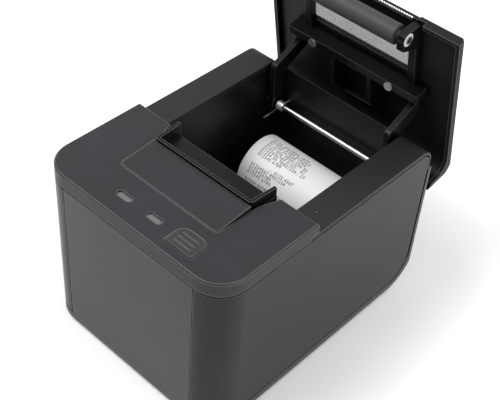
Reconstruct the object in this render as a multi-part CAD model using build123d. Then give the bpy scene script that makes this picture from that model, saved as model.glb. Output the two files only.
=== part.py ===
from build123d import *
import os
from math import acos, cos, pi, radians, sin, sqrt, tan

# Desktop receipt printer for 58 mm paper, lid open. Millimetres, +Z up, front towards -Y.
# The model is laid out with y = 0 at the front face and z = 0 under the feet, and is then
# moved along Y, so that the origin is the middle of the open printer's footprint.

# ---------------------------------------------------------------- driving dimensions
body_width = 118.0            # over the side panels
body_depth = 154.5            # front face to the rear wall of the base tray
fascia_height = 101.0         # top of the control panel above the table
front_corner_r = 16.3         # upright front corners, in plan
rear_corner_r = 3.0           # upright rear corners, in plan
heel_r = 20.0                 # lower rear corner of the base tray, seen from the side

foot_height = 2.5
foot_r = 6.0
tray_band = 4.0               # visible height of the base tray's band
tray_wall = 4.4               # thickness of the tray's rear wall
floor_thickness = 2.0
skin = 1.8                    # thickness of the front and side panels
wall = 1.8                    # thickness of the inner shell and the paper bay
seam = 0.5                    # gap between two outer panels
groove = 1.2                  # dark groove between side panel and base tray
top_groove = 0.8              # dark groove under the fascia and the deck

fascia_depth = 62.6           # control panel, front to back
fascia_band = 7.6             # height of its side band
fascia_step = 5.4             # drop from the control panel to the deck behind it
fascia_wall = 2.2
fascia_edge = 0.8             # chamfer along the top edge
front_panel_half = 42.5       # half width of the flat front panel

deck_rear_y = 149.7           # rear face of the deck and the paper bay
deck_corner_r = 8.1           # upper rear corner of the deck
deck_tail_drop = 14.0         # deck's rear rim, below the deck's top
rim_tail = 0.9                # thickness of the deck's rear rim
rim_gap = 0.45                # between that rim and the side panel

bay_half = 42.3               # half width of the paper bay
bay_front_y = 63.0            # inner face of its front wall
trough_y = 122.8              # lowest line of the curved floor
trough_z = 26.0
trough_r = 25.2
bay_slope = 32.0              # degrees, front slope of the bay's floor

paper_width = 57.5
roll_r = 18.0
core_r = 6.5
core_wall = 1.2
roll_gap = 0.3

hinge_y = 143.2               # lid hinge axis
hinge_z = 71.0
open_angle = 79.0             # degrees from closed to open
shaft_r = 1.5
shaft_half = 47.0             # half length of the hinge shaft
hinge_gap = 0.06              # radial running gap of the lid arms on the shaft
lid_thickness = 2.2
lid_corner_r = 13.0           # upper rear corner of the lid
lid_bevel = 1.8               # bevel along the lid's two top edges
lid_gap = 0.4                 # gap between the closed lid and the fascia
tail_swing_r = 13.9           # swing radius of the lid's rear lip about the hinge
lid_tail_z = 81.4             # lower end of the lid's rear lip, lid closed
swing_gap = 0.4
arm_inner = 36.3              # inner face of a lid arm
arm_thickness = 3.2
arm_hub_r = 4.4
arm_depth = 7.6               # width of the arm's bar, seen from the side
arm_rise = 26.5               # from the hinge to the top of the arm's bend
arm_tilt = 25.0               # slope of the arm's upper bar, lid open
rib_x = 12.0                  # ribs under the lid
rib_thickness = 2.0
rib_depth = 10.0
bar_y = 102.0                 # cross bar under the lid
bar_width = 5.0
window_half = 34.0
window_front = 76.0
window_rear = 99.0

cover_half = 31.6             # head cover on the control panel
cover_front = 25.2
cover_rear = 46.8
cover_rise = 2.0
cover_corner_r = 2.5
cover_gap = 0.3
lip_half = 31.2               # U-shaped paper exit lip
lip_front = 47.2
lip_rear = 63.5
lip_splay = 0.9
lip_foot = 1.6                 # each arm's foot stands this far outside the arm
lip_wall = 1.7
lip_height = 3.3              # above the fascia's top
lip_corner_r = 2.2
ramp_drop_front = 1.9
ramp_drop_rear = 4.1
ramp_thickness = 1.6
cutout_front = 50.5
cutout_half_front = 32.5
cutout_half_rear = 36.8

led_y = 11.9
led_xs = (-13.3, 6.3)
led_length = 9.0
led_width = 3.5
led_recess = 0.8
button_x0 = 18.5
button_x1 = 34.7
button_y0 = 6.1
button_y1 = 17.9
button_corner_r = 4.5
button_gap = 0.3
button_proud = 0.4
button_line = 10.0            # raised lines on the button

platen_y = 67.6               # platen axis with the lid closed
platen_z = 88.5
platen_r = 5.2
platen_half = 29.5
platen_shaft_r = 2.0
nip_gap = 0.4
head_travel = 0.6
gear_module = 0.6
platen_teeth = 18
drive_teeth = 24
pinion_teeth = 12
gear_outer_x = -41.2
gear_width = 3.0
mesh_slack = 0.12             # added to a centre distance
frame_half = 37.5             # over the mechanism frame's side plates
sheet = 1.2
motor_r = 10.0
motor_length = 17.0

board_gap = 8.0               # main board above the tray's floor
board_rear = 143.0
socket_recess = 2.5           # socket mouths inside the tray's rear face
board_thickness = 1.6

# ---------------------------------------------------------------- derived places
half = body_width / 2
tray_bottom = foot_height
tray_top = tray_bottom + tray_band
floor_top = tray_bottom + floor_thickness
rear_wall_y = body_depth - tray_wall
band_bottom = fascia_height - fascia_band
deck_top = fascia_height - fascia_step
deck_bottom = band_bottom
panel_top = band_bottom - top_groove
shell_half = half - skin
bay_outer = bay_half + wall
bay_rear_y = deck_rear_y - wall + 0.1
trough_mid_z = trough_z + trough_r
tub_front = 26.0
tub_floor = 60.0
roll_y = trough_y
roll_z = trough_z + roll_gap + roll_r
head_low = platen_z - 9
lid_rear_y = body_depth
board_z = floor_top + board_gap
head_face_y = platen_y - platen_r - nip_gap
hinge = Axis((0, hinge_y, hinge_z), (1, 0, 0))

nodes = {}


def block(x0, x1, y0, y1, z0, z1):
    """A box between two corners."""
    size = Box(x1 - x0, y1 - y0, z1 - z0)
    return Pos((x0 + x1) / 2, (y0 + y1) / 2, (z0 + z1) / 2) * size


def rod_x(y, z, radius, x0, x1):
    """A round bar along X."""
    bar = Cylinder(radius, x1 - x0)
    return Pos((x0 + x1) / 2, y, z) * Rot(0, 90, 0) * bar


def rod_y(x, z, radius, y0, y1):
    """A round bar along Y."""
    return Pos(x, (y0 + y1) / 2, z) * Rot(90, 0, 0) * Cylinder(radius, y1 - y0)


def rod_z(x, y, radius, z0, z1):
    """A round bar along Z."""
    return Pos(x, y, (z0 + z1) / 2) * Cylinder(radius, z1 - z0)


def side_prism(face, x0, x1):
    """Extrude a face, drawn with (Y, Z) as its plane, from x0 to x1."""
    return Pos(x0, 0, 0) * extrude(Plane.YZ * face, amount=x1 - x0)


def flat_prism(face, z0, z1):
    """Extrude a face drawn in plan from z0 to z1."""
    return Pos(0, 0, z0) * extrude(face, amount=z1 - z0)


def outline(*points):
    """A flat face inside straight lines."""
    return make_face(Polyline(*points, close=True))


def plan(inset, z0, z1, depth=body_depth):
    """The printer's footprint, drawn in by inset, as a solid between two heights."""
    solid = block(-half + inset, half - inset, inset, depth - inset, z0, z1)
    uprights = solid.edges().filter_by(Axis.Z).sort_by(Axis.Y)
    solid = fillet(uprights[:2], front_corner_r - inset)
    uprights = solid.edges().filter_by(Axis.Z).sort_by(Axis.Y)
    return fillet(uprights[-2:], max(rear_corner_r - inset, 0.4))


def rounded_profile(y0, y1, z0, z1, rear_top_r, rear_bottom_r):
    """A rectangle seen from the side, with its two rear corners rounded."""
    face = Pos((y0 + y1) / 2, (z0 + z1) / 2) * Rectangle(y1 - y0, z1 - z0)
    corners = face.vertices().sort_by(Axis.X)[-2:].sort_by(Axis.Y)
    if rear_bottom_r:
        face = fillet(corners[0], rear_bottom_r)
        corners = face.vertices().sort_by(Axis.Y)[-2:].sort_by(Axis.X)
        return fillet(corners[-1], rear_top_r) if rear_top_r else face
    return fillet(corners[1], rear_top_r)


def slot_plate(x, y, length, width, z0, z1):
    """A slot with round ends along X."""
    return flat_prism(Pos(x, y) * SlotOverall(length, width), z0, z1)


def screw(x, y, z_head, head_r, head_height, shank_r, length, up=True):
    """A pan-head screw whose head's outer face is at z_head."""
    sign = 1 if up else -1
    z1 = z_head + sign * head_height
    z2 = z1 + sign * length
    head = rod_z(x, y, head_r, min(z_head, z1), max(z_head, z1))
    slot = block(x - head_r, x + head_r, y - 0.3, y + 0.3, z_head - 0.5, z_head + 0.5)
    return head - slot + rod_z(x, y, shank_r, min(z1, z2), max(z1, z2))


# ---------------------------------------------------------------- gears
def involute_angle(base, radius):
    """Roll-off angle of an involute at a radius, in radians."""
    alpha = acos(base / radius)
    return tan(alpha) - alpha


def gear_face(teeth, phase):
    """A spur gear's outline about the origin, with a tooth centred at phase degrees."""
    pitch = gear_module * teeth / 2
    base = pitch * cos(radians(20))
    tip = pitch + 0.8 * gear_module
    root = pitch - 1.05 * gear_module
    start = max(base, root + 0.01)
    thin = 0.05 / pitch
    half_angle = pi / (2 * teeth) - thin
    pitch_roll = involute_angle(base, pitch)

    def flank(radius):
        return half_angle + pitch_roll - involute_angle(base, radius)

    def at(radius, angle):
        return (radius * cos(angle), radius * sin(angle))

    edges = []
    step = 2 * pi / teeth
    middle = (start + tip) / 2
    for tooth in range(teeth):
        centre = radians(phase) + tooth * step
        low = [at(root, centre - flank(start)), at(start, centre - flank(start))]
        rise = [at(r, centre - flank(r)) for r in (start, middle, tip)]
        fall = [at(r, centre + flank(r)) for r in (tip, middle, start)]
        high = [at(start, centre + flank(start)), at(root, centre + flank(start))]
        edges.append(Line(*low))
        edges.append(ThreePointArc(*rise))
        edges.append(ThreePointArc(rise[2], at(tip, centre), fall[0]))
        edges.append(ThreePointArc(*fall))
        edges.append(Line(*high))
        following = centre + step - flank(start)
        edges.append(ThreePointArc(high[1], at(root, centre + step / 2), at(root, following)))
    return make_face(Wire(edges))


def meshing_phase(teeth, phase, direction, partner_teeth):
    """Phase of a partner gear, whose centre lies in the given direction in degrees."""
    pitch_angle = 360 / teeth
    nearest = phase + round((direction - phase) / pitch_angle) * pitch_angle
    offset = nearest - direction
    return direction + 180 - offset * teeth / partner_teeth + 180 / partner_teeth


def spur_gear(y, z, teeth, phase, bore, x0, x1):
    """A spur gear whose axis lies along X."""
    face = gear_face(teeth, phase) - Circle(bore)
    return Pos(0, y, z) * side_prism(face, x0, x1)


# ---------------------------------------------------------------- base tray and feet
tray_profile = rounded_profile(-1, body_depth, tray_bottom, fascia_height, 0, heel_r)
tray_hollow = rounded_profile(-2, rear_wall_y, tray_top, fascia_height + 1, 0,
                              heel_r - tray_wall)


def make_base_tray():
    """L-shaped tray: the floor with its band, and the rear wall above a round heel."""
    body = plan(0, tray_bottom, fascia_height) & side_prism(tray_profile, -half, half)
    body -= side_prism(tray_hollow, -half - 1, half + 1)
    body -= plan(wall + skin, floor_top, tray_top + 1, rear_wall_y + wall + skin)
    ring = Circle(60) - Circle(tail_swing_r - swing_gap)
    swing = side_prism(Pos(hinge_y, hinge_z) * ring, -half - 1, half + 1)
    body -= swing & block(-half, half, 120, 200, hinge_z, 140)
    for x, y in case_screw_spots:
        body -= rod_z(x, y, screw_head_r + 0.3, tray_bottom - 1, tray_bottom + 1.2)
        body -= rod_z(x, y, screw_shank_r + 0.2, tray_bottom, floor_top + 1)
    for row in range(7):
        y = 66 + 8 * row
        body -= slot_plate(0, y, 40, 2.4, tray_bottom - 1, floor_top + 1)
    for socket in sockets:
        x, width, height = socket
        body -= block(x - width / 2 - 0.3, x + width / 2 + 0.3, socket_front - 1,
                      body_depth + 1, socket_z - 0.3, socket_z + height + 0.3)
    body -= block(switch_x - rocker_half - 1.3, switch_x + rocker_half + 1.3,
                  socket_front - 1, body_depth + 1, switch_low - 0.3, switch_low + 12.3)
    return body


screw_head_r = 2.7
screw_shank_r = 1.4
case_screw_spots = [(-51.0, 26.0), (51.0, 26.0), (-51.0, 110.0), (51.0, 110.0)]
foot_spots = [(-44.0, 14.0), (44.0, 14.0), (-44.0, 126.0), (44.0, 126.0)]
socket_z = board_z + board_thickness
socket_front = 136.0
switch_low = socket_z + 8.0
sockets = [(-34.0, 9.0, 11.0), (-8.0, 12.0, 11.0), (15.0, 13.6, 12.0)]
switch_x = 38.0
rocker_half = 6.0

nodes["base_tray"] = make_base_tray()
nodes["rubber_feet"] = [rod_z(x, y, foot_r, 0, foot_height) for x, y in foot_spots]
nodes["case_screws"] = [screw(x, y, tray_bottom - 0.4, screw_head_r, 1.6, screw_shank_r, 10)
                        for x, y in case_screw_spots]

# ---------------------------------------------------------------- shell and outer panels
shell_rear = deck_rear_y - rim_tail - 0.1
shell_profile = rounded_profile(-1, shell_rear, tray_top, band_bottom, deck_corner_r,
                                heel_r - tray_wall)
panel_profile = rounded_profile(-1, deck_rear_y - rim_tail - rim_gap, tray_top + groove,
                                panel_top,
                                deck_corner_r - 2, heel_r - tray_wall - groove)


def make_housing_shell():
    """Inner shell that carries the panels, with posts for the case screws."""
    body = plan(skin, tray_top, band_bottom) - plan(skin + wall, tray_top - 1,
                                                    band_bottom + 1, 200)
    body &= side_prism(shell_profile, -half, half)
    for x, y in case_screw_spots:
        side = 1 if x > 0 else -1
        x0, x1 = sorted((x, side * (shell_half - 0.5)))
        post = rod_z(x, y, 3.6, floor_top, 30) + block(x0, x1, y - 1, y + 1, tray_top, 30)
        body += post - rod_z(x, y, screw_shank_r + 0.06, 0, 22)
    return body


panel_ring = plan(0, tray_top, panel_top, 200) - plan(skin, tray_top - 1, panel_top + 1, 200)
side_skin = panel_ring & side_prism(panel_profile, front_panel_half + seam / 2, half + 1)
side_skin &= block(0, half + 1, -1, 200, 0, 200)

nodes["housing_shell"] = make_housing_shell()
nodes["side_panel_right"] = side_skin
nodes["side_panel_left"] = mirror(side_skin, Plane.YZ)
panel_half = front_panel_half - seam / 2
nodes["front_panel"] = block(-panel_half, panel_half, 0, skin, tray_top + seam, panel_top)

# ---------------------------------------------------------------- control panel (fascia)
button_mid_x = (button_x0 + button_x1) / 2
button_mid_y = (button_y0 + button_y1) / 2


def button_outline(grow):
    """The feed button in plan: square front corners and round rear corners."""
    width = button_x1 - button_x0 + 2 * grow
    depth = button_y1 - button_y0 + 2 * grow
    face = Pos(button_mid_x, button_mid_y) * Rectangle(width, depth)
    return fillet(face.vertices().sort_by(Axis.Y)[-2:], button_corner_r + grow)


def cover_outline(grow):
    """The head cover in plan, with round front corners."""
    depth = cover_rear - cover_front + 2 * grow
    face = Pos(0, (cover_front + cover_rear) / 2) * Rectangle(2 * (cover_half + grow), depth)
    return fillet(face.vertices().sort_by(Axis.Y)[:2], cover_corner_r + grow)


def make_top_fascia():
    """Control panel shell with its openings for lenses, button, head cover and exit lip."""
    body = plan(0, band_bottom, fascia_height, 200) & block(-half, half, -1, fascia_depth,
                                                            0, 200)
    top_edges = body.edges().group_by(Axis.Z)[-1]
    body = chamfer(top_edges, fascia_edge)
    roof = fascia_height - fascia_wall
    body -= (plan(fascia_wall, band_bottom - 1, roof, 200)
             & block(-half, half, 0, fascia_depth - fascia_wall, 0, 200))
    body -= block(-half - 1, half + 1, fascia_depth - fascia_wall - 2.6, fascia_depth + 1,
                  band_bottom - 1, deck_top)
    body += block(-30, 30, cover_front - 2.5, cover_front + 1.8, roof - 1.5, roof)
    body -= flat_prism(cover_outline(cover_gap), roof, fascia_height + 1)
    body -= block(-cover_half - 0.3, cover_half + 0.3, cover_front + 1.8, cutout_front,
                  band_bottom, fascia_height + 1)
    mouth = outline((-cutout_half_front, cover_rear), (cutout_half_front, cover_rear),
                    (cutout_half_front, cutout_front), (cutout_half_rear, fascia_depth + 1),
                    (-cutout_half_rear, fascia_depth + 1), (-cutout_half_front, cutout_front))
    body -= flat_prism(mouth, band_bottom - 1, fascia_height + 1)
    for x in led_xs:
        body -= slot_plate(x, led_y, led_length, led_width, roof - 1, fascia_height + 1)
    body -= flat_prism(button_outline(button_gap), roof - 1, fascia_height + 1)
    return body


def make_head_cover():
    """Plate over the print head that rises a little towards the paper exit."""
    depth = cover_rear - cover_front
    wedge = outline((cover_front, fascia_height - 1.9), (cover_rear, fascia_height - 0.5),
                    (cover_rear, fascia_height + cover_rise), (cover_front, fascia_height))
    plate = side_prism(wedge, -cover_half, cover_half)
    plate &= flat_prism(cover_outline(0), 0, 200)
    for side in (-1, 1):
        x = side * (cover_half - 2.5)
        plate += block(x - 0.7, x + 0.7, cover_front + depth * 0.4, cover_rear,
                       deck_top + 0.4, fascia_height - 0.6)
    return plate


def make_feed_button():
    """Button cap with three raised lines, a retaining flange and a stem."""
    top = fascia_height + button_proud
    cap = flat_prism(button_outline(0), fascia_height - fascia_wall - 0.6, top)
    flange_top = fascia_height - fascia_wall - 0.25
    cap += flat_prism(button_outline(0.9), flange_top - 0.9, flange_top)
    cap += rod_z(button_mid_x, button_mid_y, 1.5, switch_top + 0.05, flange_top)
    for row in (-1, 0, 1):
        y = button_mid_y + 2.8 * row - 0.2
        cap += block(button_mid_x - button_line / 2, button_mid_x + button_line / 2,
                     y - 0.25, y + 0.25, top, top + 0.25)
    return cap


panel_board_z = band_bottom - 4.0
panel_board_top = panel_board_z + 1.2
switch_top = panel_board_top + 3.6
lens_top = fascia_height - led_recess

nodes["top_fascia"] = make_top_fascia()
nodes["head_cover"] = make_head_cover()
nodes["feed_button"] = make_feed_button()
nodes["indicator_lenses"] = [
    slot_plate(x, led_y, led_length - 0.04, led_width - 0.04, panel_board_top + 2.0, lens_top)
    for x in led_xs]
nodes["indicator_leds"] = [block(x - 1.6, x + 1.6, led_y - 0.8, led_y + 0.8,
                                 panel_board_top, panel_board_top + 1.9) for x in led_xs]
nodes["feed_switch"] = (
    block(button_mid_x - 3, button_mid_x + 3, button_mid_y - 3, button_mid_y + 3,
          panel_board_top, panel_board_top + 2.6)
    + rod_z(button_mid_x, button_mid_y, 1.6, panel_board_top + 2.6, switch_top - 0.85))


def make_panel_board():
    """Small circuit board under the control panel, on four posts' height."""
    board = block(-24, 40, 4.4, 22, panel_board_z, panel_board_top)
    for x, y in panel_post_spots:
        board -= rod_z(x, y, 1.3, 0, 200)
    return board


panel_post_spots = [(-21, 19), (13, 19), (37, 20.5), (-21, 6.5)]
nodes["panel_board"] = make_panel_board()
post_roof = fascia_height - fascia_wall
for post_x, post_y in panel_post_spots:
    nodes["top_fascia"] += rod_z(post_x, post_y, 1.25, panel_board_z - 0.6, post_roof)
    nodes["top_fascia"] += rod_z(post_x, post_y, 2.2, panel_board_top, post_roof)


# ---------------------------------------------------------------- paper bay and deck
def trough(grow):
    """Side view of the paper bay: front wall, sloping floor, round trough, rear wall."""
    radius = trough_r + grow
    front = bay_front_y - grow
    slope = radians(bay_slope)
    low_y = trough_y - radius * sin(slope)
    low_z = trough_mid_z - radius * cos(slope)
    front_z = low_z + (low_y - front) * tan(slope)
    rear = bay_rear_y + grow - 0.1 * (grow > 0)
    reach = min(rear - trough_y, radius)
    rear_z = trough_mid_z - sqrt(max(radius ** 2 - reach ** 2, 0))
    bottom = (trough_y, trough_mid_z - radius)
    edges = [Line((front, 110), (front, front_z)), Line((front, front_z), (low_y, low_z)),
             ThreePointArc((low_y, low_z), bottom, (trough_y + reach, rear_z)),
             Line((trough_y + reach, rear_z), (trough_y + reach, 110)),
             Line((trough_y + reach, 110), (front, 110))]
    return make_face(Wire(edges))


def make_paper_bay():
    """Deck around the bay, the bay itself, and the tub in front for the mechanism."""
    envelope = rounded_profile(tub_front, deck_rear_y, 0, deck_top, deck_corner_r, 0)
    deck = rounded_profile(fascia_depth - fascia_wall - 2.4, deck_rear_y,
                           deck_top - deck_tail_drop, deck_top, deck_corner_r, 0)
    under = rounded_profile(0, deck_rear_y - rim_tail, 0, deck_bottom, deck_corner_r - 1.8, 0)
    body = side_prism(deck, -half, half) - side_prism(under, -half - 1, half + 1)
    body &= plan(0, 0, 200, 200)
    body += side_prism(trough(wall), -bay_outer, bay_outer) & side_prism(envelope, -half, half)
    body += block(-bay_outer, bay_outer, tub_front, bay_front_y, tub_floor, deck_bottom - 0.6)
    body -= side_prism(trough(0), -bay_half, bay_half)
    body -= block(-bay_half, bay_half, tub_front + wall, bay_front_y - wall, tub_floor + wall,
                  120)
    body -= block(-30.6, 30.6, bay_front_y - wall - 1, bay_front_y + 1, head_low - 0.6, 120)
    body -= block(-lip_half - 2.6, lip_half + 2.6, 50, bay_front_y + 1, deck_bottom - 3.0, 120)
    body -= block(gear_outer_x - 0.5, gear_outer_x + gear_width + 0.5,
                  bay_front_y - wall - 1, bay_front_y + 1, drive_z - 9, 120)
    body -= block(-36.5, -26, bay_front_y - wall - 1, bay_front_y + 1, 71, 75.5)
    for side in (-1, 1):
        x = side * (bay_half + wall / 2)
        body -= rod_x(hinge_y, hinge_z, shaft_r, x - wall, x + wall)
    return body


def polar(centre, direction, distance):
    """A point at a distance and a direction in degrees, in side view."""
    angle = radians(direction)
    return (centre[0] + distance * cos(angle), centre[1] + distance * sin(angle))


# gear centres: the drive gear lies in front of and below the closed platen gear
drive_direction = 210.6
pinion_direction = 196.7
drive_y, drive_z = polar((platen_y, platen_z), drive_direction,
                         gear_module * (platen_teeth + drive_teeth) / 2 + 1.5 * mesh_slack)
pinion_y, pinion_z = polar((drive_y, drive_z), pinion_direction,
                           gear_module * (drive_teeth + pinion_teeth) / 2 + mesh_slack)
drive_phase = pinion_direction
pinion_phase = meshing_phase(drive_teeth, drive_phase, pinion_direction, pinion_teeth)
platen_phase = meshing_phase(drive_teeth, drive_phase, drive_direction - 180, platen_teeth)

nodes["paper_bay"] = make_paper_bay()
nodes["hinge_shaft"] = rod_x(hinge_y, hinge_z, shaft_r, -shaft_half, shaft_half)
clip_x = bay_outer + 0.1
nodes["shaft_clips"] = []
for side in (-1, 1):
    clip_0, clip_1 = sorted((side * clip_x, side * (clip_x + 0.8)))
    clip = rod_x(hinge_y, hinge_z, 3.6, clip_0, clip_1)
    clip -= block(clip_0 - 1, clip_1 + 1, hinge_y - 1.0, hinge_y + 1.0, hinge_z - 5, hinge_z)
    nodes["shaft_clips"].append(clip - rod_x(hinge_y, hinge_z, shaft_r, clip_0, clip_1))


def make_hinge_spring():
    """Torsion spring on the shaft beside the left arm: five turns and two legs."""
    x0 = -arm_inner + 0.5
    turns = [Pos(x0 + 0.45 + 0.9 * i, hinge_y, hinge_z) * Rot(0, 90, 0) * Torus(2.45, 0.47)
             for i in range(5)]
    coil = turns[0]
    for turn in turns[1:]:
        coil += turn
    leg_z = hinge_z - 2.45
    front = Pos(x0 + 0.45, hinge_y, leg_z) * Rot(81, 0, 0) * Cylinder(
        0.47, 12.5, align=(Align.CENTER, Align.CENTER, Align.MIN))
    rear_x = x0 + 0.45 + 0.9 * 4
    rear = rod_y(rear_x, hinge_z + 2.45, 0.47, hinge_y, bay_rear_y)
    return coil + front + rear


nodes["hinge_spring"] = make_hinge_spring()

# ---------------------------------------------------------------- paper roll
nodes["paper_roll"] = (rod_x(roll_y, roll_z, roll_r, -paper_width / 2, paper_width / 2)
                       - rod_x(roll_y, roll_z, core_r, -paper_width, paper_width))
nodes["roll_core"] = (rod_x(roll_y, roll_z, core_r, -paper_width / 2, paper_width / 2)
                      - rod_x(roll_y, roll_z, core_r - core_wall, -paper_width, paper_width))


# ---------------------------------------------------------------- paper exit
def lip_outline(grow):
    """The exit lip in plan: a U whose arms spread slightly towards the bay."""
    near = lip_half + grow
    far = lip_half + lip_splay + grow
    face = outline((-near, lip_front - grow), (near, lip_front - grow), (far, lip_rear),
                   (-far, lip_rear))
    return fillet(face.vertices().sort_by(Axis.Y)[:2], lip_corner_r + grow)


def make_exit_lip():
    """U-shaped lip with the ramp that the paper slides over, on two feet."""
    inner = flat_prism(lip_outline(-lip_wall), 0, 200)
    open_rear = block(-lip_half + lip_wall - lip_splay / 2, lip_half - lip_wall + lip_splay / 2,
                      lip_rear - 1, lip_rear + 1, 0, 200)
    low = deck_bottom - 2.6
    body = flat_prism(lip_outline(0), low, fascia_height + lip_height) - inner - open_rear
    body -= block(-60, 60, lip_front - 1, lip_front + 3, 0, deck_bottom + 2.0)
    slope = outline((lip_front + 0.5, fascia_height - ramp_drop_front - ramp_thickness),
                    (lip_front + 0.5, fascia_height - ramp_drop_front),
                    (bay_front_y, fascia_height - ramp_drop_rear),
                    (bay_front_y, fascia_height - ramp_drop_rear - ramp_thickness))
    body += (side_prism(slope, -lip_half - 1, lip_half + 1)
             & flat_prism(lip_outline(-0.3), 0, 200))
    for side in (-1, 1):
        x0, x1 = sorted((side * (lip_half - 0.4), side * (lip_half + lip_foot)))
        body += block(x0, x1, 54, lip_rear - 0.2, low, fascia_height - 1.2)
    return body


nodes["exit_lip"] = make_exit_lip()


# ---------------------------------------------------------------- print mechanism
frame_floor = tub_floor + wall
frame_front = 32.0             # folded frame, front to back
frame_rear = 60.8
frame_screw_x = 20.0
frame_screw_y = 38.0
spring_plate_y = 48.8          # plate that the head springs push against
frame_top = deck_bottom - 2.6
frame_inner = frame_half - sheet


def make_mechanism_frame():
    """Folded sheet-metal frame: floor, two side plates and the spring plate."""
    body = block(-frame_half, frame_half, frame_front, frame_rear, frame_floor,
                 frame_floor + sheet)
    for side in (-1, 1):
        x0, x1 = sorted((side * frame_inner, side * frame_half))
        body += block(x0, x1, frame_front, frame_rear + 0.2, frame_floor, frame_top)
        x0, x1 = sorted((side * (lip_half - 0.4), side * frame_half))
        body += block(x0, x1, 54, frame_rear, frame_top - sheet, frame_top)
    body += block(-14, frame_half, spring_plate_y, spring_plate_y + sheet, frame_floor,
                  frame_top - 4)
    body -= rod_x(pinion_y, pinion_z, 2.2, -frame_half - 1, -frame_inner + 1)
    body -= block(-frame_half - 1, frame_half + 1, heatsink_back - head_travel - 0.2, 62,
                  platen_z - 4.7, platen_z - 0.3)
    for x in (-frame_screw_x, frame_screw_x):
        body -= rod_z(x, frame_screw_y, 1.6, frame_floor - 1, frame_floor + sheet + 1)
    return body


heatsink_back = head_face_y - 3.3
nodes["mechanism_frame"] = make_mechanism_frame()
nodes["frame_screws"] = [
    screw(x, frame_screw_y, frame_floor + sheet + 1.5, 2.5, 1.5, 1.3, 3.4, up=False)
    for x in (-frame_screw_x, frame_screw_x)]
for x in (-frame_screw_x, frame_screw_x):
    nodes["paper_bay"] += rod_z(x, frame_screw_y, 3.4, tub_floor - 2.6, tub_floor + 0.5)
    nodes["paper_bay"] -= rod_z(x, frame_screw_y, 1.34, tub_floor - 1.6, frame_floor + 1)

motor_x1 = -frame_inner + motor_length
nodes["stepper_motor"] = (
    rod_x(pinion_y, pinion_z, motor_r, -frame_inner, motor_x1)
    + rod_x(pinion_y, pinion_z, 2.0, -frame_half, -frame_inner)
    + block(-frame_inner + 4, motor_x1 - 2, pinion_y - 5, pinion_y + 5,
            frame_floor + sheet + 0.2, pinion_z)
    - rod_x(pinion_y, pinion_z, 1.05, -frame_half - 1, motor_x1 - 2))
gear_inner_x = gear_outer_x + gear_width
nodes["motor_pinion"] = (
    spur_gear(pinion_y, pinion_z, pinion_teeth, pinion_phase, 0.5, gear_outer_x, gear_inner_x)
    + rod_x(pinion_y, pinion_z, 1.0, gear_outer_x, motor_x1 - 3))
nodes["drive_gear"] = spur_gear(drive_y, drive_z, drive_teeth, drive_phase, 1.56,
                                gear_outer_x, gear_inner_x)
nodes["gear_stud"] = (rod_x(drive_y, drive_z, 1.5, gear_outer_x - 0.3, -frame_half)
                      + rod_x(drive_y, drive_z, 2.6, gear_outer_x - 0.8, gear_outer_x - 0.3)
                      + rod_x(drive_y, drive_z, 2.6, gear_inner_x + 0.2, -frame_half))

nodes["thermal_head"] = (
    block(-30, 30, head_face_y - 0.9, head_face_y - 0.2, head_low, platen_z + 4)
    + block(-26, 26, head_face_y - 0.2, head_face_y, platen_z - 0.8, platen_z + 0.8)
    + block(-22, 22, head_face_y - 0.2, head_face_y + 0.3, head_low + 0.6, head_low + 2.6))
nodes["head_heatsink"] = (
    block(-30, 30, head_face_y - 3.3, head_face_y - 0.9, head_low, platen_z + 4)
    + block(-28, 28, head_face_y - 4.3, head_face_y - 3.3, head_low + 1, head_low + 3)
    + block(-frame_half + 0.2, frame_half - 0.2, heatsink_back, head_face_y - 0.9,
            platen_z - 4.5, platen_z - 0.5))
spring_xs = (-8, 22)


def make_head_spring(x):
    """A compression spring drawn as stacked rings, seated on the spring plate."""
    start = spring_plate_y + sheet + 0.45
    end = heatsink_back - 1.2
    pitch = (end - start) / 5
    coil = rod_y(x, platen_z - 3, 1.1, start - 0.45, end - 0.3)
    for turn in range(6):
        ring = Pos(x, start + pitch * turn, platen_z - 3) * Rot(90, 0, 0) * Torus(1.5, 0.42)
        coil += ring
    return coil


nodes["head_springs"] = [make_head_spring(x) for x in spring_xs]
nodes["paper_sensor"] = block(-36, -26.5, bay_front_y - 2.9, bay_front_y - 0.9, 71.5, 75)
nodes["cover_switch"] = (block(46.5, 52.5, 66, 78.5, deck_bottom - 6.5, deck_bottom)
                         + rod_z(49.5, 72, 0.9, deck_bottom - 0.5, deck_top + 0.05))
nodes["paper_bay"] -= rod_z(49.5, 72, 1.2, deck_bottom, deck_top + 1)


# ---------------------------------------------------------------- electronics
def make_main_board():
    """Main circuit board on the tray's four standoffs."""
    board = block(-46, 46, 70, board_rear, board_z, board_z + board_thickness)
    for x, y in board_spots:
        board -= rod_z(x, y, 1.7, 0, 200)
    return board


board_spots = [(-40, 76), (40, 76), (-40, 130), (40, 130)]
nodes["main_board"] = make_main_board()
for board_x, board_y in board_spots:
    nodes["base_tray"] += (rod_z(board_x, board_y, 3.2, floor_top - 0.5, board_z)
                           - rod_z(board_x, board_y, 1.25, floor_top + 0.2, board_z + 1))
nodes["board_screws"] = [
    screw(x, y, board_z + board_thickness + 1.5, 2.6, 1.5, 1.2, 4.6, up=False)
    for x, y in board_spots]
nodes["board_chips"] = [
    block(-16, -2, 92, 106, socket_z, socket_z + 1.4),
    block(8, 20, 94, 104, socket_z, socket_z + 1.2),
    rod_z(28, 86, 5, socket_z, socket_z + 9),
    block(-30, -22, 84, 100, socket_z, socket_z + 5)]


socket_rear = body_depth - socket_recess


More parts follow.
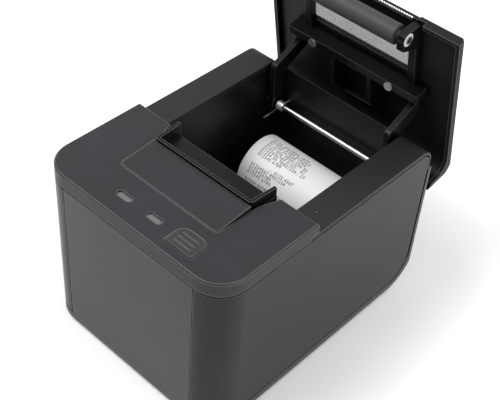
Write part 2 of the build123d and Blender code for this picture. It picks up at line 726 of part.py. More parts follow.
def make_socket(index, mouth_width, mouth_height):
    """A cable socket on the main board whose mouth faces the rear."""
    x, width, height = sockets[index]
    body = block(x - width / 2, x + width / 2, socket_front, socket_rear, socket_z,
                 socket_z + height)
    middle = socket_z + height / 2
    mouth = block(x - mouth_width / 2, x + mouth_width / 2, socket_front + 4, body_depth,
                  middle - mouth_height / 2, middle + mouth_height / 2)
    return body - mouth


power_x, power_w, power_h = sockets[0]
power_mid = socket_z + power_h / 2
nodes["power_socket"] = (
    block(power_x - power_w / 2, power_x + power_w / 2, socket_front, socket_rear, socket_z,
          socket_z + power_h)
    - rod_y(power_x, power_mid, 3.2, socket_front + 4, body_depth)
    + rod_y(power_x, power_mid, 1.0, socket_front + 3.5, socket_rear - 1))
nodes["usb_socket"] = make_socket(1, 9.0, 8.0)
usb_mid = socket_z + sockets[1][2] / 2
nodes["usb_socket"] += block(sockets[1][0] - 2.8, sockets[1][0] + 2.8, socket_front + 3.5,
                             socket_rear - 2,
                             usb_mid - 1.4, usb_mid + 1.4)
nodes["drawer_socket"] = make_socket(2, 9.8, 7.6)


def make_switch_body():
    """Rocker switch case behind the tray's rear wall, with a flange outside it."""
    z0 = switch_low
    x0, x1 = switch_x - rocker_half - 1, switch_x + rocker_half + 1
    body = block(x0, x1, body_depth - 9.0, body_depth, z0, z0 + 12)
    body += block(x0 - 1.2, x1 + 1.2, body_depth, body_depth + 0.8, z0 - 1.2, z0 + 13.2)
    body -= block(switch_x - rocker_half - 0.2, switch_x + rocker_half + 0.2,
                  body_depth - 7, body_depth + 2, z0 + 0.8, z0 + 11.2)
    return body - rod_x(body_depth - 3, z0 + 6, 1.06, x0, x1)


def make_power_rocker():
    """Rocker key on its own pivot pin, pressed on one side."""
    z_mid = switch_low + 6
    face = outline((body_depth - 5.0, z_mid - 2.6), (body_depth + 0.6, z_mid - 3.8),
                   (body_depth + 1.3, z_mid), (body_depth + 3.0, z_mid + 3.2),
                   (body_depth - 5.0, z_mid + 2.6))
    key = side_prism(face, switch_x - rocker_half, switch_x + rocker_half)
    return key + rod_x(body_depth - 3, z_mid, 1.0, switch_x - rocker_half - 0.9,
                       switch_x + rocker_half + 0.9)


nodes["power_switch"] = make_switch_body()
nodes["power_rocker"] = make_power_rocker()

# ---------------------------------------------------------------- lid, drawn closed
lid_front = fascia_depth + lid_gap
lid_low = deck_top + 0.3
lid_outer = rounded_profile(lid_front, lid_rear_y, 40, fascia_height, lid_corner_r, 0)
lid_inner = rounded_profile(lid_front + lid_thickness, lid_rear_y - lid_thickness, 0,
                            fascia_height - lid_thickness, lid_corner_r - lid_thickness, 0)
lid_rim = rounded_profile(0, deck_rear_y + 0.4, 0, lid_low, deck_corner_r + 0.4, 0)
lid_roof = fascia_height - lid_thickness
corner_y = deck_rear_y - deck_corner_r - hinge_y
corner_z = deck_top - deck_corner_r - hinge_z
rim_swing_r = sqrt(corner_y ** 2 + corner_z ** 2) + deck_corner_r + swing_gap


def make_lid_shell():
    """Lid: a shallow tray that covers the deck and wraps its upper rear corner."""
    body = side_prism(lid_outer, -half, half) & plan(0, 0, 200)
    bevel = block(-half, half, -1, 200, 0, fascia_height)
    top_edges = bevel.edges().filter_by(Axis.Y).sort_by(Axis.Z)[-2:]
    body &= chamfer(top_edges, lid_bevel)
    body -= side_prism(lid_inner, -half + lid_thickness, half - lid_thickness)
    body -= side_prism(lid_rim, -half - 1, half + 1)
    body -= rod_x(hinge_y, hinge_z, tail_swing_r, -half - 1, half + 1)
    body -= block(-half - 1, half + 1, 0, lid_rear_y - lid_thickness - 2.5, 0, lid_low - 12)
    body -= block(-half - 1, half + 1, 0, 200, 0, lid_tail_z)
    body -= block(-cutout_half_rear - 1, cutout_half_rear + 1, lid_front - 1,
                  lid_front + lid_thickness + 0.1, 0, lid_roof)
    lip_notch = lip_half + lip_foot + swing_gap
    body -= block(-lip_notch, lip_notch, lid_front - 1, lip_rear + swing_gap, 0, 200)
    body -= block(-window_half + 0.8, window_half - 0.8, window_front + 0.8,
                  window_rear - 0.8, lid_roof - 1, fascia_height + 1)
    body -= block(-window_half - 0.1, window_half + 0.1, window_front - 0.1,
                  window_rear + 0.1, lid_roof - 1, lid_roof + 1.2)
    return body


def make_lid_window():
    """Smoked pane, seated in a rebate from inside the lid."""
    return block(-window_half, window_half, window_front, window_rear, lid_roof,
                 lid_roof + 1.2)


bush_x0 = 31.4
bush_x1 = 35.6
bush_r = 3.4


def make_lid_inner_frame():
    """Ribs, cross bars and the two cheeks that hold the platen."""
    low = lid_roof - rib_depth
    bar = block(-arm_inner - arm_thickness - 2.6, arm_inner + arm_thickness + 2.6, bar_y,
                bar_y + bar_width, low, lid_roof)
    for side in (-1, 1):
        x = side * rib_x
        bar += block(x - rib_thickness / 2, x + rib_thickness / 2, bar_y, 138, low, lid_roof)
        x0, x1 = sorted((side * bush_x0, side * bush_x1))
        bar += block(x0, x1, 72.5, bar_y + 1, lid_roof - 4, lid_roof)
        cheek_front = bay_front_y + swing_gap
        cheek = side_prism(outline((cheek_front, platen_z - 3.6), (73, platen_z - 3.6),
                                   (80, lid_roof), (64.8, lid_roof)), x0, x1)
        bar += cheek - rod_x(platen_y, platen_z, bush_r, -60, 60)
        bar -= block(x0, x1, 60, platen_y, platen_z - 10, platen_z - 3.5)
    bar += block(-rib_x, rib_x, 132, 132 + rib_thickness, low, lid_roof)
    bar += block(-bush_x1, bush_x1, 72.5, 75.2, lid_roof - 6, lid_roof)
    return bar - rod_x(hinge_y, hinge_z, rim_swing_r, -rib_x - 2, rib_x + 2)


def make_bush(side):
    """Bush that carries one end of the platen shaft."""
    x0, x1 = sorted((side * bush_x0, side * bush_x1))
    return (rod_x(platen_y, platen_z, bush_r, x0, x1)
            - rod_x(platen_y, platen_z, platen_shaft_r + 0.05, x0 - 1, x1 + 1))


def make_tear_bar():
    """Toothed steel strip along the lid's front edge."""
    points = [(-30.0, lid_front + 2.3), (-30.0, lid_front + 0.6)]
    teeth = 40
    pitch = 60.0 / teeth
    for tooth in range(teeth):
        x = -30.0 + tooth * pitch
        points.append((x + pitch / 2, lid_front + 0.1))
        points.append((x + pitch, lid_front + 0.6))
    points.append((30.0, lid_front + 2.3))
    strip = flat_prism(outline(*points), lid_roof - 0.8, lid_roof)
    return strip


shaft_end = 36.2
lid_screw_x = 25.0
closed = {
    "lid_shell": make_lid_shell(),
    "lid_window": make_lid_window(),
    "lid_inner_frame": make_lid_inner_frame(),
    "tear_bar": make_tear_bar(),
    "platen_bushes": [make_bush(-1), make_bush(1)],
    "platen_roller": (rod_x(platen_y, platen_z, platen_r, -platen_half, platen_half)
                      - rod_x(platen_y, platen_z, platen_shaft_r, -60, 60)),
    "platen_shaft": rod_x(platen_y, platen_z, platen_shaft_r, gear_outer_x, shaft_end),
    "platen_gear": spur_gear(platen_y, platen_z, platen_teeth, platen_phase, platen_shaft_r,
                             gear_outer_x, gear_inner_x),
    "lid_screws": [screw(x, bar_y + bar_width / 2, lid_roof - rib_depth - 1.2, 2.4, 1.2, 1.2,
                         9.0) for x in (-lid_screw_x, lid_screw_x)],
}
for screw_x in (-lid_screw_x, lid_screw_x):
    closed["lid_inner_frame"] -= rod_z(screw_x, bar_y + bar_width / 2, 1.24, 0, lid_roof - 0.6)


def opened(shape):
    """Swing a piece of the closed lid to its open place."""
    if isinstance(shape, list):
        return [opened(one) for one in shape]
    return shape.rotate(hinge, -open_angle)


for name, shape in closed.items():
    nodes[name] = opened(shape)


def make_hinge_arm(side):
    """Gooseneck arm, drawn with the lid open: hub, upright bar, bend and upper bar."""
    slope = radians(arm_tilt)
    bend = (hinge_y - 4.8, hinge_z + arm_rise)
    reach = 24.5
    tip = (bend[0] + reach * cos(slope), bend[1] + reach * sin(slope))
    down = (sin(slope) * arm_depth, -cos(slope) * arm_depth)
    face = outline(bend, tip, (tip[0] + down[0], tip[1] + down[1]),
                   (hinge_y + 2.8, bend[1] - 6.0), (hinge_y + 3.4, hinge_z),
                   (hinge_y - 4.0, hinge_z))
    front = face.vertices().sort_by(Axis.X)[:2].sort_by(Axis.Y)[-1]
    face = fillet(front, 3.0)
    x0, x1 = sorted((side * arm_inner, side * (arm_inner + arm_thickness)))
    arm = side_prism(face, x0, x1) + rod_x(hinge_y, hinge_z, arm_hub_r, x0, x1)
    return arm - rod_x(hinge_y, hinge_z, shaft_r + hinge_gap, x0 - 1, x1 + 1)


for label, side in (("left", -1), ("right", 1)):
    arm = make_hinge_arm(side)
    nodes[f"hinge_arm_{label}"] = arm - nodes["lid_inner_frame"]

# ---------------------------------------------------------------- placing and export
everything = []
for shape in nodes.values():
    everything += shape if isinstance(shape, list) else [shape]
whole = Compound(children=[Compound(s.wrapped) for s in everything]).bounding_box()
shift = -(whole.min.Y + whole.max.Y) / 2

os.makedirs("parts", exist_ok=True)
for name, shape in nodes.items():
    solids = shape if isinstance(shape, list) else [shape]
    moved = [Pos(0, shift, 0) * solid for solid in solids]
    export_step(moved[0] if len(moved) == 1 else Compound(children=moved),
                f"parts/{name}.step")

print(f"moved along Y by {shift:.4f}")
print(f"hinge y {hinge_y + shift:.4f}  roll y {roll_y + shift:.4f} z {roll_z:.4f}")
print(f"drive {drive_y + shift:.4f} {drive_z:.4f}  pinion {pinion_y + shift:.4f} {pinion_z:.4f}")
print(f"rocker y {body_depth - 3 + shift:.4f} z {switch_low + 6:.4f}")
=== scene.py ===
from math import cos, pi, radians, sin

import bmesh
import bpy
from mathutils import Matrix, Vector


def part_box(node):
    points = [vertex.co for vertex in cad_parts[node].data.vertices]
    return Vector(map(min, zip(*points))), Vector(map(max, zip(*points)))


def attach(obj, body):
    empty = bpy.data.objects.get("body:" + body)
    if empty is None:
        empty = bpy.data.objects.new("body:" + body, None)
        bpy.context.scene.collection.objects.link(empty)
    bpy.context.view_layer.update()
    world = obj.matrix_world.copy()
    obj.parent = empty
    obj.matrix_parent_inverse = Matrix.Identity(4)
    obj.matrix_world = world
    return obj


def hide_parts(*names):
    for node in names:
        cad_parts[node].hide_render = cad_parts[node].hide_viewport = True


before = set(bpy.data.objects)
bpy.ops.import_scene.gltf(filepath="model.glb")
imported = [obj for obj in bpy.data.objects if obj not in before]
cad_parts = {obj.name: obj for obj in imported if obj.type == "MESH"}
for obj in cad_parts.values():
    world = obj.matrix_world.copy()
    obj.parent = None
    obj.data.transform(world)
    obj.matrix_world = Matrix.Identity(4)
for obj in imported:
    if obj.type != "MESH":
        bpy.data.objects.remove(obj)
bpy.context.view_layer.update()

MM = 0.001


# ---- Camera ---------------------------------------------------------------------------
# A short telephoto view from the front right, looking down into the open paper bay.
# Its place is in the printer's own frame, in metres.
eye = Vector((0.2518, -0.3026, 0.4277))
eye_turn = (radians(46.83), radians(-3.49), radians(43.31))
scene = bpy.context.scene
camera = bpy.data.objects.new("camera", bpy.data.cameras.new("camera"))
camera.data.sensor_width = 36
camera.data.lens = 76.36
camera.data.clip_start = 0.02
camera.location = eye
camera.rotation_euler = eye_turn
scene.collection.objects.link(camera)
bpy.context.scene.camera = camera
scene.view_settings.view_transform = "Standard"


# ---- Base tray, shell and panels ---------------------------------------------------------
# The tray and the inner shell are moulded in black ABS. The side and front panels are
# smoother skins clipped over the shell, and catch more of the room than the tray does.
class Value:
    """A shader socket that takes part in sums."""

    def __init__(self, finish, socket):
        self.finish = finish
        self.socket = socket

    def maths(self, operation, first, second):
        settings = {"operation": operation}
        return self.finish.add("ShaderNodeMath", settings, {0: first, 1: second})

    def __add__(self, other):
        return self.maths("ADD", self, other)

    def __mul__(self, other):
        return self.maths("MULTIPLY", self, other)

    def __sub__(self, other):
        return self.maths("SUBTRACT", self, other)

    def __rsub__(self, other):
        return self.maths("SUBTRACT", other, self)

    def __gt__(self, other):
        return self.maths("GREATER_THAN", self, other)

    def __lt__(self, other):
        return self.maths("LESS_THAN", self, other)

    def power(self, other):
        return self.maths("POWER", self, other)

    __radd__ = __add__
    __rmul__ = __mul__


class Finish:
    """One procedural material."""

    def __init__(self, name, color, roughness, metallic=0.0):
        self.material = bpy.data.materials.new(name)
        self.material.use_nodes = True
        self.tree = self.material.node_tree
        self.tree.nodes.clear()
        self.shader = self.tree.nodes.new("ShaderNodeBsdfPrincipled")
        out = self.tree.nodes.new("ShaderNodeOutputMaterial")
        self.tree.links.new(self.shader.outputs[0], out.inputs["Surface"])
        self.set(**{"Base Color": (*color, 1), "Roughness": roughness, "Metallic": metallic})

    def plug(self, socket, value):
        """Feeds a socket with a number, a colour or another node's output."""
        if isinstance(value, Value):
            self.tree.links.new(value.socket, socket)
        else:
            socket.default_value = value

    def set(self, **sockets):
        for name, value in sockets.items():
            self.plug(self.shader.inputs[name], value)

    def add(self, kind, settings=None, sockets=None, output=0):
        """A node of any kind, with its settings first and then its sockets."""
        node = self.tree.nodes.new(kind)
        for name, value in (settings or {}).items():
            if name == "stops":
                ramp = node.color_ramp.elements
                ramp[0].position, ramp[0].color = value[0]
                ramp[1].position, ramp[1].color = value[-1]
                for place, color in value[1:-1]:
                    ramp.new(place).color = color
            else:
                setattr(node, name, value)
        for name, value in (sockets or {}).items():
            self.plug(node.inputs[name], value)
        return Value(self, node.outputs[output])

    def place(self, scale=(1, 1, 1), centre=(0, 0, 0)):
        """The object's own coordinates, moved and scaled."""
        here = self.add("ShaderNodeTexCoord", output="Object")
        there = tuple(-c * s for c, s in zip(centre, scale))
        return self.add("ShaderNodeMapping", {}, {"Vector": here, "Scale": scale,
                                                  "Location": there})

    def noise(self, size, scale=(1, 1, 1), detail=3):
        """Soft noise whose blobs are about size metres across."""
        return self.add("ShaderNodeTexNoise", {},
                        {"Vector": self.place(scale), "Scale": 1 / size, "Detail": detail})

    def mix(self, amount, first, second):
        """Between two colours."""
        settings = {"data_type": "RGBA"}
        sockets = {0: amount, 6: (*first, 1) if isinstance(first, tuple) else first,
                   7: (*second, 1) if isinstance(second, tuple) else second}
        return self.add("ShaderNodeMix", settings, sockets, output=2)

    def painted_edge_highlight(self, radius, strength=6.0):
        """Painted highlight mask: from 0 on a flat face to 1 on a convex edge rounded to a
        radius in metres.
        """
        soft = self.add("ShaderNodeBevel", {"samples": 6}, {"Radius": radius})
        flat = self.add("ShaderNodeNewGeometry", output="Normal")
        along = self.add("ShaderNodeVectorMath", {"operation": "DOT_PRODUCT"},
                         {0: soft, 1: flat}, output="Value")
        edge = self.add("ShaderNodeClamp", {}, {"Value": (1 - along) * strength})
        return edge * (self.open_sky(0.003) > 0.8)

    def open_sky(self, reach):
        """1 on an open face, lower in a corner or groove within reach metres."""
        return self.add("ShaderNodeAmbientOcclusion", {"samples": 6}, {"Distance": reach},
                        output="AO")

    def relief(self, height, depth, edge=0.0):
        """Bump of a depth in metres over rounded edges of a radius in metres."""
        sockets = {"Height": height, "Distance": depth, "Strength": 1.0}
        if edge:
            sockets["Normal"] = self.add("ShaderNodeBevel", {"samples": 4}, {"Radius": edge})
        self.set(Normal=self.add("ShaderNodeBump", {}, sockets))


def coat(finish, *names):
    """Gives CAD nodes or new pieces this finish in place of their own."""
    for name in names:
        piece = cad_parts.get(name) or bpy.data.objects[name]
        piece.data.materials.clear()
        piece.data.materials.append(finish.material)


def moulded(name, color, roughness, grain=0.0003, depth=0.000006, edge=0.0004,
            highlight_strength=6.0, gloss=0.5):
    """Injection-moulded black plastic: spark-eroded grain, faint flow marks, painted highlights
    on edges and painted shade in grooves.
    """
    finish = Finish(name, color, roughness)
    speck = finish.noise(grain, detail=2)
    flow = finish.noise(0.03)
    paler = tuple(c * 1.45 + 0.003 for c in color)
    darker = tuple(c * 0.75 for c in color)
    tone = finish.mix(flow, darker, paler)
    # Painted highlight: edges within the radius get a lighter colour, standing in for light
    # catching them.
    painted_rim_highlight = finish.painted_edge_highlight(edge, highlight_strength)
    painted_shade_reach = 3.5 * MM
    grained = finish.mix(speck * 0.35, tone, paler)
    painted_highlight_tone = tuple(c * 2 + 0.24 for c in color)
    # Painted shade: grooves and inner corners within reach turn darker in the colour itself.
    crevice_shade_mask = finish.open_sky(painted_shade_reach).power(1.6)
    with_painted_shade = finish.mix(crevice_shade_mask, tuple(c * 0.1 for c in color), grained)
    finish.set(**{"Base Color": finish.mix(painted_rim_highlight * 0.7, with_painted_shade, painted_highlight_tone)})
    finish.set(Roughness=speck * 0.10 + flow * 0.10 + (roughness - 0.10) - painted_rim_highlight * 0.12)
    finish.set(**{"Specular IOR Level": gloss})
    finish.relief(speck, depth, edge)
    return finish


tray_black = moulded("tray_black", (0.014, 0.014, 0.015), 0.40)
shell_black = moulded("shell_black", (0.006, 0.006, 0.006), 0.6)
side_satin = moulded("side_satin", (0.0150, 0.0125, 0.0120), 0.30, 0.0005, 0.000003, 0.0006,
                     gloss=0.15)
front_satin = moulded("front_satin", (0.032, 0.032, 0.034), 0.30, 0.0005, 0.000003, 0.0006,
                      gloss=0.20)
coat(tray_black, "base_tray")
coat(shell_black, "housing_shell")
coat(side_satin, "side_panel_left", "side_panel_right")
coat(front_satin, "front_panel")


# ---- Feet and case screws ----------------------------------------------------------------
# Soft rubber discs glued under the tray, and zinc-plated screws driven up beside them.
rubber = Finish("rubber", (0.018, 0.018, 0.018), 0.85)
dust = rubber.noise(0.0012)
rubber.set(**{"Base Color": rubber.mix(dust, (0.012, 0.012, 0.012), (0.035, 0.034, 0.032))})
rubber.relief(dust, 0.00002)
zinc = Finish("zinc", (0.55, 0.56, 0.57), 0.35, 1.0)
brushing = zinc.noise(0.0004, (1, 6, 1))
zinc.set(Roughness=brushing * 0.25 + 0.22)
zinc.set(**{"Base Color": zinc.mix(brushing, (0.42, 0.43, 0.45), (0.64, 0.64, 0.63))})
zinc.relief(brushing, 0.000004)
coat(rubber, "rubber_feet")
coat(zinc, "case_screws", "board_screws", "frame_screws", "lid_screws", "shaft_clips")


# ---- Control panel, head cover and feed button ---------------------------------------------
# The control panel is a textured cap over the mechanism. The head cover is of the same black,
# the exit lip is a darker copy of it with painted shade for its shaded inside ramp, and the
# button's top is a little smoother from fingers.
cap_black = moulded("cap_black", (0.0135, 0.0130, 0.0160), 0.44, 0.00032, 0.000008, 0.0008,
                    gloss=0.27)
button_black = moulded("button_black", (0.017, 0.0165, 0.0195), 0.38, 0.00032, 0.000004, 0.0005,
                       gloss=0.38)
# Painted shade: the lip's colour is darker than the cap's, standing in for the shade on its
# inside ramp.
lip_black = moulded("lip_black", (0.007, 0.007, 0.008), 0.34, 0.0003, 0.000003, 0.0005,
                    gloss=0.06)
coat(cap_black, "top_fascia", "head_cover")
coat(button_black, "feed_button")
coat(lip_black, "exit_lip")


# ---- Indicator windows ---------------------------------------------------------------------
# Frosted light guides sunk into their slots, with the lamps and their board below.
frost = Finish("frosted_lens", (0.22, 0.22, 0.23), 0.32)
cloud = frost.noise(0.0016)
frost.set(**{"Base Color": frost.mix(cloud, (0.07, 0.07, 0.075), (0.17, 0.17, 0.18))})
frost.relief(cloud, 0.00003, 0.0004)
lamp = Finish("lamp_resin", (0.75, 0.74, 0.68), 0.25)
lamp.set(**{"Base Color": lamp.mix(lamp.noise(0.0008), (0.6, 0.59, 0.5), (0.85, 0.84, 0.8))})
coat(frost, "indicator_lenses")
coat(lamp, "indicator_leds")


# ---- Circuit boards and what stands on them ---------------------------------------------
# Green glass-fibre boards with copper tracks under the lacquer, and black epoxy parts.
board = Finish("board_green", (0.02, 0.16, 0.06), 0.3)
tracks = board.add("ShaderNodeTexBrick", {"offset": 0.4},
                   {"Vector": board.place(), "Scale": 90.0, "Mortar Size": 0.035,
                    "Color1": (0.012, 0.11, 0.04, 1), "Color2": (0.016, 0.14, 0.05, 1),
                    "Mortar": (0.05, 0.30, 0.10, 1)})
board.set(**{"Base Color": tracks})
board.relief(board.noise(0.0006), 0.000008)
epoxy = Finish("epoxy", (0.02, 0.02, 0.021), 0.5)
pits = epoxy.noise(0.0003)
epoxy.set(**{"Base Color": epoxy.mix(pits, (0.012, 0.012, 0.012), (0.035, 0.035, 0.036))})
epoxy.relief(pits, 0.00001, 0.0002)
coat(board, "main_board", "panel_board")
coat(epoxy, "board_chips", "feed_switch", "paper_sensor", "cover_switch", "power_socket",
     "drawer_socket", "power_switch")
coat(button_black, "power_rocker")
coat(zinc, "usb_socket")


# ---- Paper bay -------------------------------------------------------------------------
# One deep moulding: the deck round the opening is textured like the cap, and the inside is
# smoother and coloured nearly black as painted shade in the well.
bay = Finish("bay_black", (0.015, 0.015, 0.016), 0.42)
height = bay.add("ShaderNodeSeparateXYZ", {}, {"Vector": bay.place()}, output="Z")
deck_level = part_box("paper_bay")[1].z - 3 * MM
inside = height < deck_level
deck_speck = bay.noise(0.0003, detail=2)
deck_tone = bay.mix(deck_speck * 0.4, (0.010, 0.010, 0.011), (0.020, 0.020, 0.021))
# Painted shade: below the deck the colour drops to nearly black, standing in for the shade in
# the deep well.
bay.set(**{"Base Color": bay.mix(inside, deck_tone, (0.005, 0.005, 0.005))})
bay.set(Roughness=inside * -0.06 + deck_speck * 0.08 + 0.42)
bay.relief(deck_speck, 0.000006, 0.0004)
bay.set(**{"Specular IOR Level": 0.25})
coat(bay, "paper_bay")


# ---- Hinge shaft, its clips and its spring --------------------------------------------------
# A polished steel rod through both bay walls. The torsion spring is one wire: a close coil
# round the rod, one leg forward along the bay wall and one back against the rear wall.
chrome = Finish("polished_rod", (0.40, 0.40, 0.41), 0.32, 1.0)
polish = chrome.noise(0.0008, (0.1, 1, 1))
chrome.set(Roughness=polish * 0.12 + 0.24)
chrome.relief(polish, 0.000002)
spring_steel = Finish("spring_steel", (0.80, 0.80, 0.78), 0.35, 1.0)
drawn = spring_steel.noise(0.0005, (1, 5, 5))
spring_steel.set(Roughness=drawn * 0.2 + 0.28)
coat(chrome, "hinge_shaft", "platen_shaft")


def wire_piece(name, points, radius, finish, body, slot, *nodes):
    """A round wire along points, made a closed mesh."""
    line = bpy.data.curves.new(name, "CURVE")
    line.dimensions = "3D"
    line.bevel_depth = radius
    line.bevel_resolution = 3
    line.use_fill_caps = True
    spline = line.splines.new("POLY")
    spline.points.add(len(points) - 1)
    for spot, point in zip(spline.points, points):
        spot.co = (*point, 1)
    source = bpy.data.objects.new(name + "_line", line)
    mesh = bpy.data.meshes.new_from_object(source)
    mesh.name = name
    mesh.shade_smooth()
    bpy.data.objects.remove(source)
    piece = bpy.data.objects.new(name, mesh)
    scene.collection.objects.link(piece)
    coat(finish, name)
    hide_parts(*nodes)
    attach(piece, body)
    return piece


spring_low, spring_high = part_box("hinge_spring")
rod_low, rod_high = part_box("hinge_shaft")
rod_y = (rod_low.y + rod_high.y) / 2
rod_z = (rod_low.z + rod_high.z) / 2
coil_r = 2.45 * MM
wire_r = 0.45 * MM
coil_x0 = spring_low.x + wire_r
coil_x1 = spring_high.x - wire_r
turns = 4.5
steps = 24
coil = [Vector((coil_x0, spring_low.y + 0.3 * MM, spring_low.z + 0.1 * MM))]
for step in range(int(turns * steps) + 1):
    angle = -pi / 2 - 2 * pi * step / steps
    x = coil_x0 + (coil_x1 - coil_x0) * step / (turns * steps)
    coil.append(Vector((x, rod_y + coil_r * cos(angle), rod_z + coil_r * sin(angle))))
coil.append(Vector((coil_x1, spring_high.y - 0.2 * MM, rod_z + coil_r)))
wire_piece("torsion_spring", coil, wire_r, spring_steel, "base", "steel", "hinge_spring")


# ---- Paper roll ----------------------------------------------------------------------------
# Thermal paper wound on a card core. Its flat ends show the layers as fine rings, and the
# outside is smooth and white with the rows of a printed test strip.
roll_low, roll_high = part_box("paper_roll")
roll_centre = (roll_low + roll_high) / 2
roll_r = (roll_high.z - roll_low.z) / 2
paper = Finish("thermal_paper", (0.84, 0.84, 0.83), 0.55)
across = paper.place(centre=tuple(roll_centre))
flat_across = paper.add("ShaderNodeVectorMath", {"operation": "MULTIPLY"},
                        {0: across, 1: (0, 1, 1)})
ring = paper.add("ShaderNodeVectorMath", {"operation": "LENGTH"}, {0: flat_across},
                 output="Value")
layers = paper.add("ShaderNodeTexNoise", {"noise_dimensions": "1D"},
                   {"W": ring, "Scale": 4200.0, "Detail": 2.0})
on_end = ring < (roll_r - 0.05 * MM)
fibre = paper.noise(0.0007)
white = paper.mix(fibre, (0.80, 0.80, 0.79), (0.87, 0.87, 0.86))
edge_tone = paper.mix(layers, (0.52, 0.52, 0.50), (0.86, 0.86, 0.84))
paper.set(**{"Base Color": paper.mix(on_end, white, edge_tone)})
paper.relief(fibre, 0.000006)
card = Finish("core_card", (0.42, 0.30, 0.18), 0.8)
card.set(**{"Base Color": card.mix(card.noise(0.0006), (0.34, 0.24, 0.14),
                                   (0.52, 0.38, 0.24))})
card.relief(card.noise(0.0004), 0.00003)
coat(paper, "paper_roll")
coat(card, "roll_core")


# ---- Printing on the roll ----------------------------------------------------------------
# Rows of plain numbers in dark grey, such as a printer's test strip, laid on the paper's
# outside as flat letters that follow its curve.
ink = Finish("thermal_ink", (0.10, 0.10, 0.11), 0.6)
ink.set(**{"Base Color": ink.mix(ink.noise(0.0003), (0.07, 0.07, 0.08), (0.22, 0.22, 0.23))})
letter_size = 2.7 * MM
row_pitch = 2.2 * MM
print_left = roll_low.x + 5.5 * MM
ink_gap = 0.03 * MM
rows = ("0123 4567890 1234", "012345 6789 01234:5", "01 234 567890 1234", "0123 456 78901234 56",
        "0123456789 0123:   01", "01234 56 78901234 : 23", "012345 6789", "",
        "             :  0123 4567", "01234567 8901234", "0123456789", "012345 6789", "",
        "01234 5678901 2345", "012 34567 8901", "")
printed = bmesh.new()
first_angle = radians(-12)
for row, digits in enumerate(rows):
    if not digits:
        continue
    words = bpy.data.curves.new("row", "FONT")
    words.body = digits
    words.size = letter_size
    words.offset = 0.05 * MM
    words.space_character = 1.15
    source = bpy.data.objects.new("row", words)
    mesh = bpy.data.meshes.new_from_object(source)
    bpy.data.objects.remove(source)
    before = len(printed.verts)
    printed.from_mesh(mesh)
    printed.verts.ensure_lookup_table()
    for vert in printed.verts[before:]:
        around = first_angle + (row_pitch * row - vert.co.y) / roll_r
        reach = roll_r + ink_gap
        vert.co = Vector((print_left + vert.co.x, roll_centre.y - reach * sin(around),
                          roll_centre.z + reach * cos(around)))
    bpy.data.meshes.remove(mesh)
ink_mesh = bpy.data.meshes.new("roll_print")
printed.normal_update()
printed.to_mesh(ink_mesh)
printed.free()
roll_print = bpy.data.objects.new("roll_print", ink_mesh)
scene.collection.objects.link(roll_print)
coat(ink, "roll_print")
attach(roll_print, "roll")


# ---- Print mechanism -------------------------------------------------------------------------
# Folded steel frame, stepper motor, acetal gears and the glazed heater strip on its
# aluminium heat sink.
sheet_steel = Finish("sheet_steel", (0.56, 0.57, 0.58), 0.38, 1.0)
rolled = sheet_steel.noise(0.0006, (1, 8, 1))
sheet_steel.set(Roughness=rolled * 0.2 + 0.28)
sheet_steel.set(**{"Base Color": sheet_steel.mix(rolled, (0.48, 0.49, 0.5),
                                                 (0.62, 0.62, 0.62))})
acetal = Finish("acetal", (0.72, 0.71, 0.67), 0.42)
acetal.set(**{"Base Color": acetal.mix(acetal.noise(0.004), (0.66, 0.65, 0.6),
                                       (0.78, 0.77, 0.73))})
acetal.relief(acetal.noise(0.0005), 0.000006)
aluminium = Finish("milled_aluminium", (0.74, 0.75, 0.76), 0.3, 1.0)
milling = aluminium.noise(0.0005, (1, 1, 12))
aluminium.set(Roughness=milling * 0.2 + 0.2)
glaze = Finish("glazed_strip", (0.62, 0.58, 0.50), 0.15)
glaze.set(**{"Base Color": glaze.mix(glaze.noise(0.003), (0.55, 0.50, 0.42),
                                     (0.68, 0.64, 0.56))})
brass = Finish("brass", (0.78, 0.60, 0.28), 0.28, 1.0)
brass.set(Roughness=brass.noise(0.0005) * 0.2 + 0.2)
coat(sheet_steel, "mechanism_frame", "stepper_motor", "gear_stud", "tear_bar")
coat(acetal, "drive_gear", "platen_gear", "platen_bushes")
coat(aluminium, "head_heatsink")
coat(glaze, "thermal_head")
coat(brass, "motor_pinion")
coat(spring_steel, "head_springs")


# ---- Lid ---------------------------------------------------------------------------------
# The lid's outside is textured like the cap, its inside is smooth black with ribs and coloured
# darker as painted shade, and a smoked pane lets the paper be seen. Two bent arms carry it on
# the hinge rod.
# Painted shade: the lid's black is darker than the cap's, and the inner frame and arms darker
# still, standing in for the shade inside the lid.
lid_black = moulded("lid_black", (0.008, 0.008, 0.009), 0.44, 0.00032, 0.000007, 0.0005,
                    gloss=0.12)
frame_black = moulded("lid_frame_black", (0.004, 0.004, 0.004), 0.30, 0.0004, 0.000003,
                      0.0006, highlight_strength=1.2, gloss=0.12)
smoked = Finish("smoked_pane", (0.10, 0.10, 0.11), 0.12)
smoked.set(Alpha=smoked.noise(0.02) * 0.05 + 0.50)
coat(lid_black, "lid_shell")
coat(frame_black, "lid_inner_frame", "hinge_arm_left", "hinge_arm_right")
coat(smoked, "lid_window")
platen_rubber = Finish("platen_rubber", (0.022, 0.022, 0.023), 0.6)
ground = platen_rubber.noise(0.0005, (0.2, 1, 1))
platen_rubber.set(Roughness=ground * 0.2 + 0.5)
platen_rubber.relief(ground, 0.000008)
coat(platen_rubber, "platen_roller")


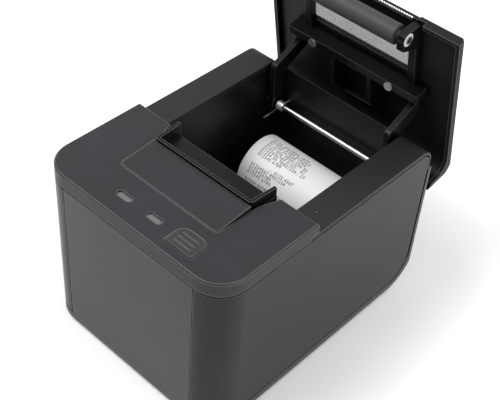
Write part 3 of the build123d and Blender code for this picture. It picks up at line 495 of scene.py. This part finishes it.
# ---- Floor, backdrop and lights --------------------------------------------------------------
# A white sweep under soft boxes. The printer's black plastic shows mostly what it mirrors.
stage_mesh = bmesh.new()
bmesh.ops.create_grid(stage_mesh, x_segments=1, y_segments=1, size=6)
floor_mesh = bpy.data.meshes.new("floor")
stage_mesh.to_mesh(floor_mesh)
stage_mesh.free()
floor = bpy.data.objects.new("floor", floor_mesh)
scene.collection.objects.link(floor)
floor_white = Finish("floor_white", (0.97, 0.97, 0.97), 0.9)
here = floor_white.add("ShaderNodeTexCoord", output="Object")
away = floor_white.add("ShaderNodeVectorMath", {"operation": "LENGTH"}, {0: here},
                       output="Value")
fading = floor_white.add("ShaderNodeMapRange", {"interpolation_type": "SMOOTHSTEP"},
                         {"Value": away, "From Min": 0.30, "From Max": 0.9})
camera_ray = floor_white.add("ShaderNodeLightPath", output="Is Camera Ray")
backdrop = fading * camera_ray
floor_white.set(**{"Base Color": floor_white.mix(backdrop, (0.97, 0.97, 0.97), (0, 0, 0)),
                   "Emission Color": floor_white.mix(backdrop, (0, 0, 0), (1, 1, 1)),
                   "Emission Strength": 1.0, "Specular IOR Level": 0.0})
coat(floor_white, "floor")

world = bpy.data.worlds.new("room")
scene.world = world
world.use_nodes = True
sky = world.node_tree
sky.nodes.clear()
seen = sky.nodes.new("ShaderNodeLightPath")
either = sky.nodes.new("ShaderNodeMath")
either.operation = "MAXIMUM"
sky.links.new(seen.outputs["Is Camera Ray"], either.inputs[0])
sky.links.new(seen.outputs["Is Glossy Ray"], either.inputs[1])
any_ray = sky.nodes.new("ShaderNodeMath")
any_ray.operation = "MAXIMUM"
sky.links.new(either.outputs[0], any_ray.inputs[0])
sky.links.new(seen.outputs["Is Transmission Ray"], any_ray.inputs[1])
level = sky.nodes.new("ShaderNodeMapRange")
level.inputs["To Min"].default_value = 0.44
level.inputs["To Max"].default_value = 1.0
sky.links.new(any_ray.outputs[0], level.inputs["Value"])
room = sky.nodes.new("ShaderNodeBackground")
room.inputs["Color"].default_value = (1, 1, 1, 1)
sky.links.new(level.outputs[0], room.inputs["Strength"])
sky_out = sky.nodes.new("ShaderNodeOutputWorld")
sky.links.new(room.outputs[0], sky_out.inputs["Surface"])


def soft_box(name, place, size, watts):
    """A square soft box that faces the printer."""
    lamp_data = bpy.data.lights.new(name, "AREA")
    lamp_data.size = size
    lamp_data.energy = watts
    box = bpy.data.objects.new(name, lamp_data)
    box.location = place
    box.rotation_euler = (Vector((0, 0, 0.05)) - Vector(place)).to_track_quat(
        "-Z", "Y").to_euler()
    scene.collection.objects.link(box)


soft_box("key_box", (-0.5, -0.5, 1.2), 0.7, 15)
soft_box("back_box", (0.3, 1.0, 1.0), 0.7, 8)
soft_box("side_box", (1.1, 0.1, 0.6), 0.6, 5)
